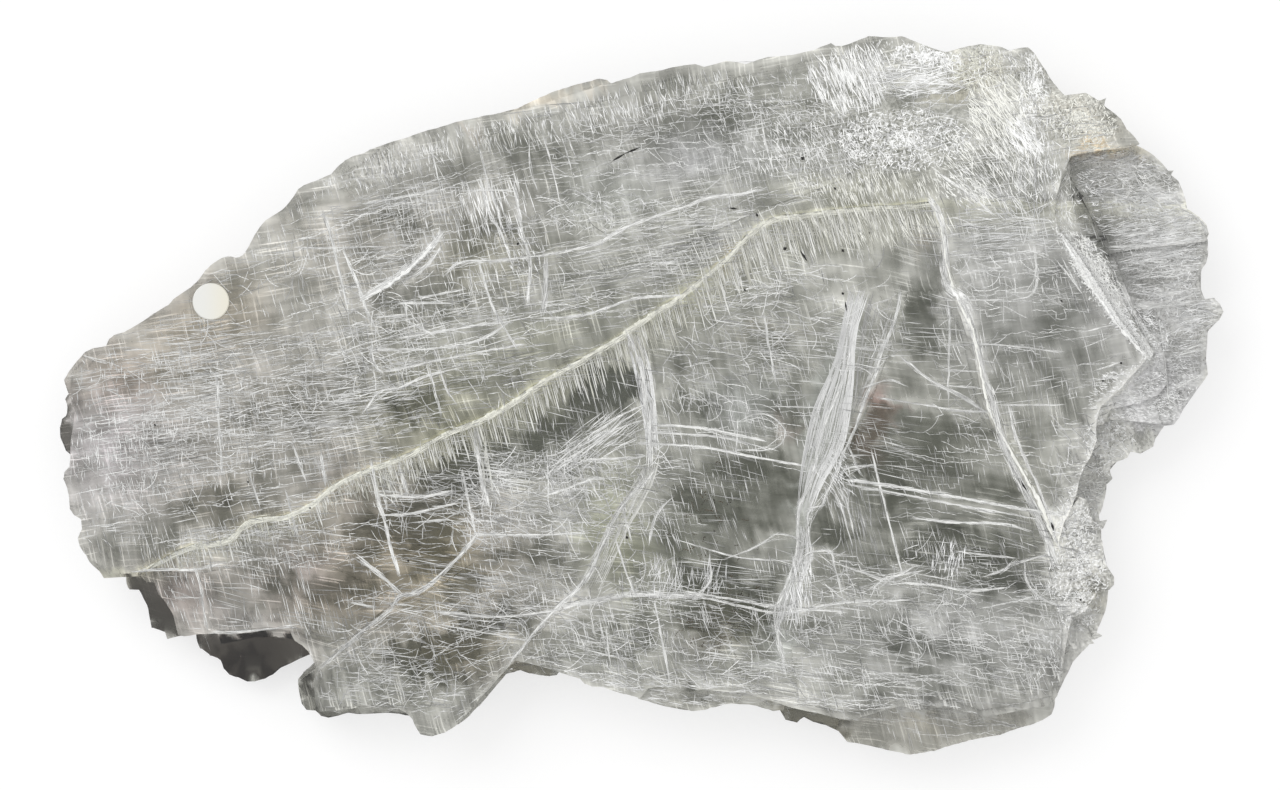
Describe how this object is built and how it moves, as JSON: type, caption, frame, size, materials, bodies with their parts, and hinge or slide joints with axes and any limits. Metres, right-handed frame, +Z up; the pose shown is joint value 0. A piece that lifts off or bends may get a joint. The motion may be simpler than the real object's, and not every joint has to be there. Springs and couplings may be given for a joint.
{
  "type": "selenite slab",
  "caption": "Large cleavage slab of selenite, a clear grey gypsum crystal with streaks and broken ledges, lying flat, with a small blank dot label.",
  "frame": {"origin": "middle of the slab's box, on the plane that its flat underside rests on", "axes": "+X along the slab's length towards its rough broken end, +Y across it, +Z up from the underside to the cleavage face"},
  "size_m": [0.32, 0.1967, 0.0249],
  "materials": {
    "selenite": "pearly, streaked and half clear, with rough broken edges",
    "label": "satin white paper with a faint cream tint"
  },
  "bodies": {
    "root": {"selenite_slab": "selenite", "blank_dot_label": "label"}
  },
  "joints": []
}
